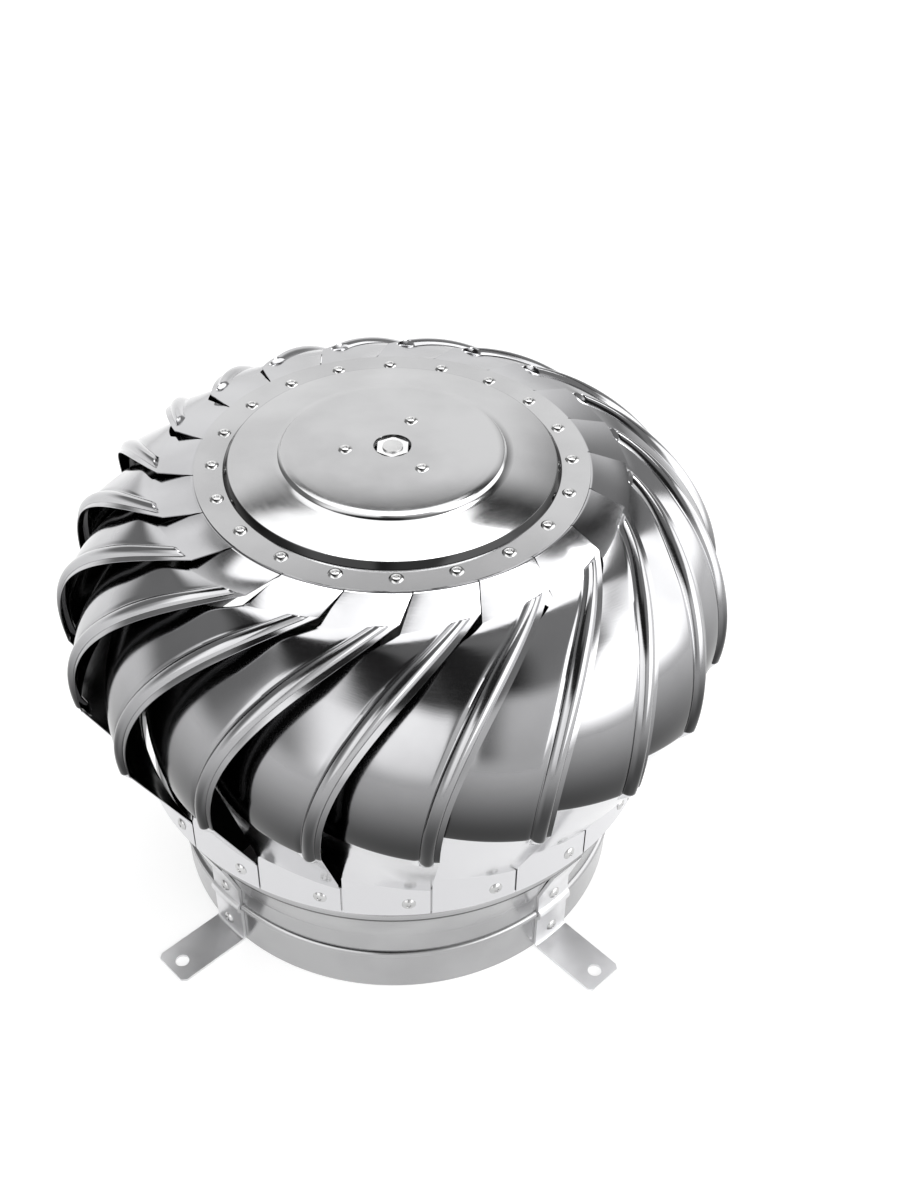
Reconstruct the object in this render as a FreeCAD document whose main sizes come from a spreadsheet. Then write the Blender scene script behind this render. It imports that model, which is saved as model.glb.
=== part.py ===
import FreeCAD, Part
import math
import os
import Sketcher

# Roof turbine ventilator: a fixed neck with feet, a twisted cross bar pair and a shaft carry a
# free-spinning rotor of twenty pressed vanes on two ball bearings.
# Frame: millimetres, +Z up, origin at the centre of the neck's lower edge. Azimuths are measured
# from the front (-Y), positive toward +X.

doc = FreeCAD.newDocument("roof_turbine_ventilator")

DIMENSIONS = [
    ("neck_radius", 150.0, "outside radius of the neck's lower band"),
    ("neck_wall", 0.8, "neck sheet thickness"),
    ("low_bead_height", 34.0, "height of the rolled bead between the two bands"),
    ("low_bead_half", 3.0, "half height of that bead"),
    ("flare_start", 52.0, "height where the upper band starts to flare"),
    ("flare_end", 83.7, "height where the flare ends"),
    ("neck_top_radius", 160.6, "outside radius of the neck above the flare"),
    ("rim_bead_half", 5.0, "half height of the top bead"),
    ("bead_fullness", 1.03, "section radius of a bead over its half height"),
    ("rim_lip", 2.0, "plain lip above the top bead"),
    ("foot_count", 4, "number of foot brackets"),
    ("foot_start_angle", 45.0, "azimuth of the first foot"),
    ("foot_width", 28.0, "width of a foot bracket"),
    ("foot_sheet", 2.0, "thickness of a foot bracket"),
    ("foot_reach", 201.5, "radius of the foot's outer end"),
    ("foot_hole_ring", 192.0, "radius of the circle of foot holes"),
    ("foot_hole_radius", 4.5, "foot hole radius"),
    ("riser_top", 80.0, "height of the riser's upper end"),
    ("low_rivet_height", 12.0, "height of the lower foot rivets"),
    ("high_rivet_height", 46.0, "height of the upper foot rivets"),
    ("rivet_shank", 2.4, "radius of the blind rivets' shank"),
    ("rivet_tail", 3.2, "radius of the blind rivets' swollen tail"),
    ("rivet_head", 4.2, "radius of the blind rivets' dome head"),
    ("rivet_dome", 1.6, "height of the dome head"),
    ("fit_gap", 0.1, "clearance between a hole or seat and what fills it"),
    ("bar_width", 25.0, "width of a cross bar"),
    ("bar_sheet", 2.5, "thickness of a cross bar"),
    ("bar_height", 12.5, "height of the flat centre of the lower cross bar's underside"),
    ("bar_twist_start", 22.0, "radius where the bar starts to twist on edge"),
    ("bar_twist_length", 32.0, "length of the quarter twist"),
    ("shaft_radius", 9.0, "shaft radius between the bearing seats"),
    ("seat_radius", 7.5, "shaft radius at the bearing seats"),
    ("foot_thread_radius", 7.0, "radius of the threaded lower end"),
    ("foot_thread_top", 32.0, "height of the end of the lower thread"),
    ("shaft_bottom", 1.5, "height of the shaft's lower end"),
    ("top_thread_radius", 6.0, "radius of the threaded upper end"),
    ("shaft_top", 323.0, "height of the shaft's upper end"),
    ("washer_radius", 14.0, "outside radius of the bar washers"),
    ("washer_sheet", 1.5, "thickness of the bar washers"),
    ("bar_nut_flats", 22.0, "width across flats of the bar nuts"),
    ("bar_nut_height", 8.0, "height of the bar nuts"),
    ("top_nut_flats", 18.0, "width across flats of the top nut"),
    ("top_nut_height", 6.0, "height of the top nut"),
    ("bearing_outside", 17.5, "outside radius of both ball bearings"),
    ("bearing_width", 11.0, "width of both ball bearings"),
    ("bearing_land", 2.7, "radial thickness of a bearing ring at its shoulders"),
    ("ball_radius", 2.95, "radius of a bearing ball"),
    ("ball_count", 8, "balls in one bearing"),
    ("ball_play", 0.06, "gap between a ball and its tracks and pocket"),
    ("cage_sheet", 1.6, "radial thickness of the ball cage"),
    ("cage_height", 7.6, "height of the ball cage"),
    ("low_bearing_height", 106.0, "height of the lower bearing's underside"),
    ("high_bearing_height", 304.0, "height of the upper bearing's underside"),
    ("clip_radius", 9.8, "outside radius of the retaining clip"),
    ("clip_groove_radius", 6.9, "shaft radius in the clip groove"),
    ("clip_sheet", 1.0, "thickness of the retaining clip"),
    ("cup_wall", 1.5, "sheet thickness of the two bearing cups"),
    ("cup_lip", 3.0, "reach of a cup's lip under the bearing"),
    ("low_cup_flange", 30.0, "flange radius of the lower bearing cup"),
    ("high_cup_flange", 34.0, "flange radius of the upper bearing cup"),
    ("cup_rivet_ring", 25.0, "radius of the lower cup's rivet circle"),
    ("high_cup_rivet_ring", 28.0, "radius of the upper cup's rivet circle"),
    ("cup_rivets", 3, "rivets in each bearing cup"),
    ("hub_radius", 41.0, "radius of the hub plate"),
    ("hub_sheet", 2.0, "thickness of the hub plate"),
    ("hub_height", 108.0, "height of the hub plate's underside"),
    ("spoke_count", 5, "number of spokes"),
    ("spoke_width", 18.0, "width of a spoke"),
    ("spoke_sheet", 2.0, "thickness of a spoke"),
    ("spoke_start", 30.0, "radius of a spoke's inner end"),
    ("spoke_rivet_ring", 35.5, "radius of the circle of spoke rivets in the hub"),
    ("ring_radius", 169.6, "outside radius of the rotor's lower ring"),
    ("ring_wall", 1.0, "thickness of the lower ring"),
    ("ring_bottom", 101.5, "height of the lower ring's bottom edge"),
    ("ring_height", 21.0, "height of the lower ring"),
    ("ring_rivet_height", 111.5, "height of the lower ring's rivets"),
    ("cap_radius", 117.2, "outside radius of the top cap"),
    ("cap_sheet", 1.0, "thickness of the top cap"),
    ("cap_underside", 310.0, "height of the cap flange's underside"),
    ("cap_rivet_ring", 106.6, "radius of the circle of cap rivets"),
    ("dish_radius", 100.0, "radius of the step from flange to dish"),
    ("dish_rise", 4.0, "height of that step"),
    ("disc_radius", 68.0, "radius of the step from dish to centre disc"),
    ("dish_slope_rise", 4.5, "rise of the dish between its two steps"),
    ("disc_rise", 3.5, "height of the centre step"),
    ("step_run", 3.0, "radial run of both steps"),
    ("cap_hole_radius", 11.0, "radius of the centre hole"),
    ("vane_count", 20, "number of vanes"),
    ("vane_sheet", 0.6, "vane sheet thickness"),
    ("vane_gap", 0.4, "angle left between neighbouring tabs"),
    ("tab_root_radius", 101.0, "radius of a tab's inner end under the cap"),
    ("tab_lead", 4.0, "angle from a cap rivet to the leading side of its tab"),
    ("bulge_centre_radius", 113.0, "radius of the bulge ellipse's centre"),
    ("bulge_centre_height", 210.0, "height of the bulge ellipse's centre"),
    ("bulge_half_width", 94.5, "radial half axis of the bulge"),
    ("bulge_half_height", 101.0, "upright half axis of the bulge"),
    ("rib_start_radius", 139.0, "radius where the rib starts"),
    ("fold_drop", 10.6, "angle of the bulge arc below its widest point"),
    ("rib_sweep", 30.8, "angle that a rib sweeps back on its way down"),
    ("rib_ease", 2.24, "exponent that puts most of the sweep near the top"),
    ("vane_reach", 24.0, "widest angle covered by a vane"),
    ("vane_dip", 19.0, "depth of a vane's trailing side one pitch behind its rib"),
    ("dip_power", 1.25, "exponent of the dip across a vane"),
    ("trail_drop", 5.0, "drop of the trailing side at the tab's end"),
    ("trail_spread", 3.0, "outward spread of the trailing side at the tab's end"),
    ("widening_share", 0.35, "share of the rib's length over which a vane widens and dips"),
    ("edge_lead_share", 0.12, "angle of the ribbed edge at the tab's end over the tab's lead"),
    ("tab_overhang", 1.0, "reach of a tab past the cap's rim, where it bends down"),
    ("lip_width", 3.0, "width of the plain lip outside the rib"),
    ("rib_width", 8.2, "width of the rib"),
    ("rib_height", 3.0, "height of the rib"),
    ("rib_flank_share", 0.26, "share of the rib's width taken by each flank"),
    ("rib_start_share", 0.035, "share of the rib's length where the rib reaches full height"),
    ("rib_end_share", 0.12, "share of the facet's length where the rib dies out"),
    ("facet_low_height", 122.0, "height of the lower fold at the ribbed edge"),
    ("facet_high_height", 132.0, "height of the lower fold at the trailing side"),
    ("strip_bottom", 101.0, "height of the riveted strip's bottom edge"),
    ("strip_gap", 0.28, "mean gap between the riveted strip and the ring"),
    ("strip_rivet_lag", 4.3, "angle from a strip's leading side to its rivet"),
    ("drill_length", 10.0, "length of the drill stroke through a vane"),
    ("rest_turn", 3.8, "azimuth of the first cap rivet at rest"),
]

sheet = doc.addObject("Spreadsheet::Sheet", "Dimensions")
for row, (alias, number, note) in enumerate(DIMENSIONS, start=1):
    sheet.set(f"A{row}", note)
    sheet.set(f"B{row}", str(number))
    sheet.setAlias(f"B{row}", alias)
doc.recompute()


class Size:
    """A size that carries its spreadsheet expression together with its present number."""

    def __init__(self, text, number):
        self.text = text
        self.number = float(number)

    def __add__(self, other):
        return Size(f"({self.text} + {text_of(other)})", self.number + number_of(other))

    def __radd__(self, other):
        return Size(f"({text_of(other)} + {self.text})", number_of(other) + self.number)

    def __sub__(self, other):
        return Size(f"({self.text} - {text_of(other)})", self.number - number_of(other))

    def __rsub__(self, other):
        return Size(f"({text_of(other)} - {self.text})", number_of(other) - self.number)

    def __mul__(self, other):
        return Size(f"({self.text} * {text_of(other)})", self.number * number_of(other))

    def __rmul__(self, other):
        return Size(f"({text_of(other)} * {self.text})", number_of(other) * self.number)

    def __truediv__(self, other):
        return Size(f"({self.text} / {text_of(other)})", self.number / number_of(other))


def text_of(value):
    return value.text if isinstance(value, Size) else str(value)


def number_of(value):
    return value.number if isinstance(value, Size) else float(value)


def size(alias):
    return Size(f"Dimensions.{alias}", sheet.get(alias))


def num(alias):
    return float(sheet.get(alias))


NODES = []


def azimuth_turn(degrees):
    """Rotation about Z that carries a piece drawn along +X to an azimuth from the front."""
    return FreeCAD.Rotation(FreeCAD.Vector(0, 0, 1), degrees - 90.0)


def start_body(name):
    body = doc.addObject("PartDesign::Body", name)
    body.Label = name
    NODES.append(body)
    return body


def plane_of(body, role):
    return next(item for item in body.Origin.OriginFeatures if item.Role == role)


def sketch_on(body, name, role, height=None):
    """A sketch on one of the body's own origin planes, lifted by a size if one is given."""
    sketch = body.newObject("Sketcher::SketchObject", name)
    sketch.AttachmentSupport = [(plane_of(body, role), "")]
    sketch.MapMode = "FlatFace"
    if height is not None:
        lift = FreeCAD.Vector(0, 0, number_of(height))
        sketch.AttachmentOffset = FreeCAD.Placement(lift, FreeCAD.Rotation())
        sketch.setExpression("AttachmentOffset.Base.z", text_of(height))
    return sketch


def arc_between(start, end, radius, side):
    """Arc of a circle between two points, bulging to the right (+1) or left (-1) of the way."""
    chord = end - start
    away = FreeCAD.Vector(chord.y, -chord.x, 0).normalize() * side
    rise = math.sqrt(radius * radius - chord.Length * chord.Length / 4)
    middle = (start + end) / 2 + away * (radius - rise)
    return Part.Arc(start, middle, end)


def outline(sketch, corners):
    """Closed profile in a sketch: each corner is (x, y) or (x, y, arc radius, arc side)."""
    points = [FreeCAD.Vector(number_of(c[0]), number_of(c[1]), 0) for c in corners]
    count = len(corners)
    for i, corner in enumerate(corners):
        start = points[i]
        end = points[(i + 1) % count]
        if len(corner) == 4:
            arc = arc_between(start, end, number_of(corner[2]), corner[3])
            sketch.addGeometry(arc, False)
        else:
            sketch.addGeometry(Part.LineSegment(start, end), False)
    ends = [end_codes(sketch, i, points[i]) for i in range(count)]
    for i, corner in enumerate(corners):
        following = (i + 1) % count
        joint = (i, ends[i][1], following, ends[following][0])
        sketch.addConstraint(Sketcher.Constraint("Coincident", *joint))
    for i, corner in enumerate(corners):
        place_point(sketch, i, ends[i][0], corner[0], corner[1])
        if len(corner) == 4:
            radius = number_of(corner[2])
            index = sketch.addConstraint(Sketcher.Constraint("Radius", i, radius))
            sketch.setExpression(f"Constraints[{index}]", text_of(corner[2]))


def end_codes(sketch, index, start):
    """Start and end point codes of an edge, seen along the profile."""
    first = (sketch.getPoint(index, 1) - start).Length
    last = (sketch.getPoint(index, 2) - start).Length
    return (1, 2) if first < last else (2, 1)


def place_point(sketch, index, code, x, y):
    """Ties a point to the sketch's origin by two distances bound to their sizes."""
    for kind, value, axis in (("DistanceX", x, -2), ("DistanceY", y, -1)):
        if not isinstance(value, Size) and float(value) == 0.0:
            sketch.addConstraint(Sketcher.Constraint("PointOnObject", index, code, axis))
            continue
        rule = Sketcher.Constraint(kind, -1, 1, index, code, number_of(value))
        place = sketch.addConstraint(rule)
        sketch.setExpression(f"Constraints[{place}]", text_of(value))


def circle(sketch, x, y, radius):
    centre = FreeCAD.Vector(number_of(x), number_of(y), 0)
    normal = FreeCAD.Vector(0, 0, 1)
    index = sketch.addGeometry(Part.Circle(centre, normal, number_of(radius)), False)
    place_point(sketch, index, 3, x, y)
    rule = sketch.addConstraint(Sketcher.Constraint("Radius", index, number_of(radius)))
    sketch.setExpression(f"Constraints[{rule}]", text_of(radius))


def revolve(body, name, corners, angle=360.0):
    """Revolution about Z of a profile drawn as (radius, height) corners."""
    sketch = sketch_on(body, name + "_profile", "XZ_Plane")
    outline(sketch, corners)
    feature = body.newObject("PartDesign::Revolution", name)
    feature.Profile = sketch
    feature.ReferenceAxis = (sketch, ["V_Axis"])
    feature.Angle = number_of(angle)
    if isinstance(angle, Size):
        feature.setExpression("Angle", angle.text)
        feature.Midplane = True
    return feature


def pad(body, name, sketch, length, both=False, down=False):
    feature = body.newObject("PartDesign::Pad", name)
    feature.Profile = sketch
    feature.Length = number_of(length)
    feature.setExpression("Length", text_of(length))
    feature.Midplane = both
    feature.Reversed = down
    return feature


def pocket(body, name, sketch, length, both=False, down=False):
    feature = body.newObject("PartDesign::Pocket", name)
    feature.Profile = sketch
    feature.Length = number_of(length)
    feature.setExpression("Length", text_of(length))
    feature.Midplane = both
    feature.Reversed = down
    return feature


def polar(body, name, originals, count):
    """Polar pattern of features about the body's Z axis, which becomes the body's tip."""
    feature = body.newObject("PartDesign::PolarPattern", name)
    feature.Originals = originals
    feature.Axis = (plane_of(body, "Z_Axis"), [""])
    feature.Angle = 360.0
    feature.Occurrences = int(number_of(count))
    feature.setExpression("Occurrences", text_of(count))
    body.Tip = feature
    return feature


def rectangle(sketch, x1, y1, x2, y2):
    outline(sketch, [(x1, y1), (x2, y1), (x2, y2), (x1, y2)])


def part_node(name, shape, placement=None):
    """A sub-part whose shape comes from Part's own functions."""
    node = doc.addObject("Part::Feature", name)
    node.Label = name
    node.Shape = shape
    if placement is not None:
        node.Placement = placement
    NODES.append(node)
    return node


# Neck ring: thin rolled sheet with a bead between its bands, a flare and a beaded rim.
def neck_ring():
    body = start_body("neck_ring")
    radius = size("neck_radius")
    wall = size("neck_wall")
    top = size("neck_top_radius")
    bead = size("low_bead_half")
    rim = size("rim_bead_half")
    full = size("bead_fullness")
    low = size("low_bead_height")
    flare = size("flare_start")
    end = size("flare_end")
    rim_top = end + 2 * rim
    revolve(body, "neck_ring_shell", [
        (radius, 0),
        (radius, low - bead, bead * full, 1),
        (radius, low + bead),
        (radius, flare),
        (top, end, rim * full, 1),
        (top, rim_top),
        (top, rim_top + size("rim_lip")),
        (top - wall, rim_top + size("rim_lip")),
        (top - wall, rim_top, rim * full, -1),
        (top - wall, end),
        (radius - wall, flare),
        (radius - wall, low + bead, bead * full, -1),
        (radius - wall, low - bead),
        (radius - wall, 0),
    ])
    doc.recompute()
    reach = 2 * radius
    for tag, height in (("low", "low_rivet_height"), ("high", "high_rivet_height")):
        sketch = sketch_on(body, f"neck_{tag}_hole_centre", "YZ_Plane")
        circle(sketch, 0, size(height), size("rivet_shank") + size("fit_gap"))
        hole = pocket(body, f"neck_{tag}_hole", sketch, reach, down=True)
        polar(body, f"neck_{tag}_holes", [hole], size("foot_count"))
    body.Placement.Rotation = azimuth_turn(num("foot_start_angle"))
    return body


# Foot bracket: riser that follows the neck over its bead, and a flat foot with one hole.
def foot_bracket(index):
    name = f"foot_bracket_{index + 1}"
    body = start_body(name)
    skin = size("neck_radius") + size("fit_gap")
    thick = size("foot_sheet")
    bead = size("low_bead_half") + size("fit_gap")
    bend = bead * size("bead_fullness")
    outer_bead = bead + thick * 0.68
    low = size("low_bead_height")
    flare = size("flare_start")
    rise = size("riser_top") - flare
    lean = (size("neck_top_radius") - size("neck_radius")) / (size("flare_end") - flare)
    top_skin = skin + rise * lean
    arc = size("foot_width") / size("neck_radius") * 180 / math.pi
    revolve(body, name + "_riser", [
        (skin, 0),
        (skin + thick, 0),
        (skin + thick, low - outer_bead, bend + thick, 1),
        (skin + thick, low + outer_bead),
        (skin + thick, flare),
        (top_skin + thick, size("riser_top")),
        (top_skin, size("riser_top")),
        (skin, flare),
        (skin, low + bead, bend, -1),
        (skin, low - bead),
    ], arc)
    sketch = sketch_on(body, name + "_foot_outline", "XY_Plane")
    half = size("foot_width") / 2
    rectangle(sketch, skin + thick / 2, -1 * half, size("foot_reach"), half)
    pad(body, name + "_foot", sketch, thick)
    doc.recompute()
    sketch = sketch_on(body, name + "_hole_centre", "XY_Plane")
    circle(sketch, size("foot_hole_ring"), 0, size("foot_hole_radius"))
    pocket(body, name + "_hole", sketch, 3 * thick, both=True)
    doc.recompute()
    for tag, height in (("low", "low_rivet_height"), ("high", "high_rivet_height")):
        sketch = sketch_on(body, f"{name}_{tag}_rivet_centre", "YZ_Plane")
        circle(sketch, 0, size(height), size("rivet_shank") + size("fit_gap"))
        pocket(body, f"{name}_{tag}_rivet_hole", sketch, 2 * size("neck_radius"), down=True)
    turn = num("foot_start_angle") + index * 360.0 / num("foot_count")
    body.Placement.Rotation = azimuth_turn(turn)


def wall_inside(radius):
    """Distance from the axis to a rivet tail that rests on the hollow side of a round wall."""
    return math.sqrt(radius ** 2 - num("rivet_tail") ** 2)


def blind_rivet(grip):
    """Blind rivet along +X: dome head outside x = 0, shank and swollen tail inside."""
    head = num("rivet_head")
    dome = num("rivet_dome")
    shank = num("rivet_shank")
    tail = num("rivet_tail")
    ends = [(dome, 0), (dome, head * 0.45), (dome * 0.55, head * 0.85), (0, head), (0, shank),
            (-grip, shank), (-grip, tail), (-grip - dome, tail), (-grip - dome, 0)]
    points = [FreeCAD.Vector(x, 0, r) for x, r in ends]
    face = Part.Face(Part.makePolygon(points + [points[0]]))
    return face.revolve(FreeCAD.Vector(0, 0, 0), FreeCAD.Vector(1, 0, 0), 360)


def radial_place(azimuth, radius, height):
    """Placement that sets a rivet drawn along +X on a wall, pointing outward."""
    turn = azimuth_turn(azimuth)
    out = turn.multVec(FreeCAD.Vector(radius, 0, 0))
    return FreeCAD.Placement(out + FreeCAD.Vector(0, 0, height), turn)


def upright_place(azimuth, radius, height, down=False):
    """Placement that stands a rivet drawn along +X upright on a level plate."""
    tip = FreeCAD.Rotation(FreeCAD.Vector(0, 1, 0), 90 if down else -90)
    spot = azimuth_turn(azimuth).multVec(FreeCAD.Vector(radius, 0, 0))
    return FreeCAD.Placement(spot + FreeCAD.Vector(0, 0, height), tip)


def placed(shape, placement):
    copy = shape.copy()
    copy.Placement = placement.multiply(copy.Placement)
    return copy


def foot_azimuths():
    step = 360.0 / num("foot_count")
    return [num("foot_start_angle") + step * i for i in range(int(num("foot_count")))]


# Foot rivets: two through each riser, the lower of them also through a cross bar's end.
def foot_rivets():
    face = num("neck_radius") + num("fit_gap") + num("foot_sheet")
    inner_wall = num("neck_radius") - num("neck_wall")
    bar_inside = inner_wall - num("fit_gap") - num("bar_sheet")
    low = blind_rivet(face - wall_inside(bar_inside))
    high = blind_rivet(face - wall_inside(inner_wall))
    solids = []
    for azimuth in foot_azimuths():
        solids.append(placed(low, radial_place(azimuth, face, num("low_rivet_height"))))
        solids.append(placed(high, radial_place(azimuth, face, num("high_rivet_height"))))
    part_node("foot_rivets", Part.makeCompound(solids))


def bar_section(x, turn, height):
    """Rectangle across a bar at x, turned about the bar's axis (0 lies flat, 90 is on edge)."""
    half_width = num("bar_width") / 2
    half_sheet = num("bar_sheet") / 2
    roll = FreeCAD.Rotation(FreeCAD.Vector(1, 0, 0), turn)
    corners = []
    for y, z in ((-1, -1), (1, -1), (1, 1), (-1, 1)):
        corner = roll.multVec(FreeCAD.Vector(0, y * half_width, z * half_sheet))
        corners.append(corner + FreeCAD.Vector(x, 0, height))
    return Part.makePolygon(corners + [corners[0]])


# Cross bar: flat and bored at the centre, twisted on edge in each arm, ends bent along the wall.
def cross_bar(name, level, foot_azimuth):
    height = num("bar_height") + num("bar_sheet") * (level + 0.5)
    wall = num("neck_radius") - num("neck_wall") - num("fit_gap")
    lag = flange_middle(wall)
    arm = bar_arm(height, wall)
    drill = num("rivet_shank") + num("fit_gap")
    side = FreeCAD.Vector(math.cos(math.radians(lag)), math.sin(math.radians(lag)), 0)
    start = side * (wall - num("bar_width")) + FreeCAD.Vector(0, 0, num("low_rivet_height"))
    arm = arm.cut(Part.makeCylinder(drill, 2 * num("bar_width"), start, side))
    other = arm.copy()
    other.rotate(FreeCAD.Vector(0, 0, 0), FreeCAD.Vector(0, 0, 1), 180)
    base = FreeCAD.Vector(0, 0, height - num("bar_width"))
    bore = num("foot_thread_radius") + num("fit_gap")
    centre_hole = Part.makeCylinder(bore, 2 * num("bar_width"), base)
    bar = arm.fuse(other).cut(centre_hole).removeSplitter()
    turn = azimuth_turn(foot_azimuth - lag)
    part_node(name, bar, FreeCAD.Placement(FreeCAD.Vector(0, 0, 0), turn))


def flange_middle(wall):
    """Angle from a bar's own line to the middle of its bent end."""
    return math.degrees((num("foot_width") - num("bar_sheet")) / 2 / wall)


def bar_arm(height, wall):
    """Half of a bar along +X: flat stretch, quarter twist, stretch on edge and bent end."""
    start = num("bar_twist_start")
    length = num("bar_twist_length")
    steps = 4
    flat = [bar_section(0, 0, height), bar_section(start, 0, height)]
    twist = [bar_section(start + length * i / steps, 90.0 * i / steps, height)
             for i in range(steps + 1)]
    inside = wall - num("bar_sheet") / 2
    edge = [bar_section(start + length, 90, height), bar_section(inside, 90, height)]
    axis = FreeCAD.Vector(0, 0, 1)
    base = FreeCAD.Vector(0, 0, height - num("bar_width") / 2)
    reach = math.degrees(num("foot_width") / wall)
    outer = Part.makeCylinder(wall, num("bar_width"), base, axis, reach)
    inner = Part.makeCylinder(wall - num("bar_sheet"), num("bar_width"), base)
    end = outer.cut(inner)
    end.rotate(FreeCAD.Vector(0, 0, 0), axis, flange_middle(wall) - reach / 2)
    pieces = [Part.makeLoft(twist, True, True), Part.makeLoft(edge, True, True), end]
    return Part.makeLoft(flat, True, True).multiFuse(pieces)


# Shaft: one turned bar with a seat for each bearing, a clip groove and two threaded ends.
def shaft():
    body = start_body("shaft")
    main = size("shaft_radius")
    seat = size("seat_radius")
    thread = size("foot_thread_radius")
    groove = size("clip_groove_radius")
    clip_top = size("low_bearing_height")
    clip_bottom = clip_top - size("clip_sheet") - size("fit_gap")
    low_shoulder = clip_top + size("bearing_width")
    high_shoulder = size("high_bearing_height")
    high_end = high_shoulder + size("bearing_width")
    revolve(body, "shaft_turned", [
        (0, size("shaft_bottom")),
        (thread, size("shaft_bottom")),
        (thread, size("foot_thread_top")),
        (seat, size("foot_thread_top")),
        (seat, clip_bottom),
        (groove, clip_bottom),
        (groove, clip_top),
        (seat, clip_top),
        (seat, low_shoulder),
        (main, low_shoulder),
        (main, high_shoulder),
        (seat, high_shoulder),
        (seat, high_end),
        (size("top_thread_radius"), high_end),
        (size("top_thread_radius"), size("shaft_top")),
        (0, size("shaft_top")),
    ])


def ring_plate(name, inner, outer, bottom, thickness):
    """Flat round plate with a centre bore."""
    body = start_body(name)
    sketch = sketch_on(body, name + "_outline", "XY_Plane", bottom)
    circle(sketch, 0, 0, outer)
    circle(sketch, 0, 0, inner)
    pad(body, name + "_plate", sketch, thickness)
    return body


def hexagon_nut(name, flats, bore, bottom, height):
    """Hexagon nut padded from its six corners, with a plain bore."""
    body = start_body(name)
    corner = flats / 2 / math.cos(math.pi / 6)
    sketch = sketch_on(body, name + "_outline", "XY_Plane", bottom)
    corners = []
    for i in range(6):
        angle = math.radians(60 * i + 30)
        corners.append((corner * round(math.cos(angle), 9), corner * round(math.sin(angle), 9)))
    cleaned = [tuple(0 if abs(v.number) < 1e-6 else v for v in c) for c in corners]
    outline(sketch, cleaned)
    circle(sketch, 0, 0, bore)
    pad(body, name + "_block", sketch, height)
    return body


# Washers and nuts that clamp the two bars on the shaft, and the ones that hold the top bearing.
def clamp_pieces():
    bars = size("bar_height")
    bars_top = bars + 2 * size("bar_sheet")
    washer = size("washer_sheet")
    bore = size("foot_thread_radius") + size("fit_gap")
    nut = size("bar_nut_height")
    ring_plate("lower_bar_washer", bore, size("washer_radius"), bars - washer, washer)
    ring_plate("upper_bar_washer", bore, size("washer_radius"), bars_top, washer)
    hexagon_nut("lower_bar_nut", size("bar_nut_flats"), bore, bars - washer - nut, nut)
    hexagon_nut("upper_bar_nut", size("bar_nut_flats"), bore, bars_top + washer, nut)
    bearing_top = size("high_bearing_height") + size("bearing_width")
    top_bore = size("top_thread_radius") + size("fit_gap")
    top_washer = size("clip_sheet")
    ring_plate("top_washer", top_bore, size("clip_radius"), bearing_top, top_washer)
    hexagon_nut("top_nut", size("top_nut_flats"), top_bore, bearing_top + top_washer,
                size("top_nut_height"))


# Retaining clip: an open ring in the shaft groove, with its gap cut at one side.
def retaining_clip():
    body = start_body("retaining_clip")
    bottom = size("low_bearing_height") - size("clip_sheet")
    sketch = sketch_on(body, "retaining_clip_outline", "XY_Plane", bottom)
    circle(sketch, 0, 0, size("clip_radius"))
    circle(sketch, 0, 0, size("clip_groove_radius") + size("fit_gap"))
    pad(body, "retaining_clip_ring", sketch, size("clip_sheet"))
    doc.recompute()
    sketch = sketch_on(body, "retaining_clip_gap_outline", "XY_Plane", bottom)
    half = size("clip_sheet") * 2
    rectangle(sketch, 0, -1 * half, size("clip_radius") * 2, half)
    pocket(body, "retaining_clip_gap", sketch, 3 * size("clip_sheet"), both=True)


# Ball bearing: two grooved rings, balls and a cage, the same at both ends of the shaft.
def bearing(tag, bottom):
    inner = size("seat_radius") + size("fit_gap") / 2
    outer = size("bearing_outside")
    land = size("bearing_land")
    pitch = (size("seat_radius") + outer) / 2
    middle = bottom + size("bearing_width") / 2
    top = bottom + size("bearing_width")
    groove = size("ball_radius") + size("ball_play")
    inner_land = size("seat_radius") + land
    outer_land = outer - land
    for part, face, reach, side in (("inner", inner, inner_land, 1), ("outer", outer, outer_land, -1)):
        gap = abs(pitch.number - reach.number)
        half = math.sqrt(groove.number ** 2 - gap ** 2)
        body = start_body(f"{tag}_bearing_{part}_ring")
        share = half / groove.number
        rise = groove * round(share, 6)
        revolve(body, f"{tag}_bearing_{part}_turned", [
            (face, bottom),
            (face, top),
            (reach, top),
            (reach, middle + rise, groove, side),
            (reach, middle - rise),
            (reach, bottom),
        ])
    balls = []
    step = 360.0 / num("ball_count")
    for i in range(int(num("ball_count"))):
        spot = azimuth_turn(step * i).multVec(FreeCAD.Vector(pitch.number, 0, 0))
        balls.append(Part.makeSphere(num("ball_radius"), spot + FreeCAD.Vector(0, 0, middle.number)))
    part_node(f"{tag}_bearing_balls", Part.makeCompound(balls))
    body = start_body(f"{tag}_bearing_cage")
    half_sheet = size("cage_sheet") / 2
    sketch = sketch_on(body, f"{tag}_cage_outline", "XY_Plane", middle - size("cage_height") / 2)
    circle(sketch, 0, 0, pitch + half_sheet)
    circle(sketch, 0, 0, pitch - half_sheet)
    pad(body, f"{tag}_cage_ring", sketch, size("cage_height"))
    doc.recompute()
    sketch = sketch_on(body, f"{tag}_cage_pocket_centre", "YZ_Plane")
    circle(sketch, 0, middle, groove)
    hole = pocket(body, f"{tag}_cage_pocket", sketch, 2 * pitch, down=True)
    polar(body, f"{tag}_cage_pockets", [hole], size("ball_count"))
    body.Placement.Rotation = azimuth_turn(0)


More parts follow.
